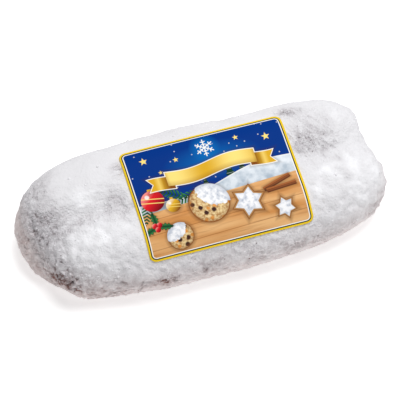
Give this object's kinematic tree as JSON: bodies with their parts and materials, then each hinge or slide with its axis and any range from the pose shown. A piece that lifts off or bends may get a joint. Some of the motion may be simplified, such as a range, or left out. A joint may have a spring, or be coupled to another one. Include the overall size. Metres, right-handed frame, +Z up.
{
  "type": "stollen",
  "caption": "Long sugar-dusted fruit loaf of two rolls of dough folded over a broad flat foot, with a printed paper label bent over its top.",
  "frame": {"origin": "middle of the bounding box at the base, on the surface the loaf rests on", "axes": "+X along the loaf, +Z up; -Y is the side of the lower front lip, +Y the side of the taller back fold"},
  "size_m": [0.2268, 0.0974, 0.056],
  "materials": {
    "icing_sugar": "dry powdered icing sugar over a baked crust, fully matt, thin and pinkish grey in hollows and along the foot",
    "printed_paper": "satin printed paper: blue and tan fields inside a yellow border"
  },
  "bodies": {
    "root": {"loaf": "icing_sugar", "label": "printed_paper"}
  },
  "joints": []
}
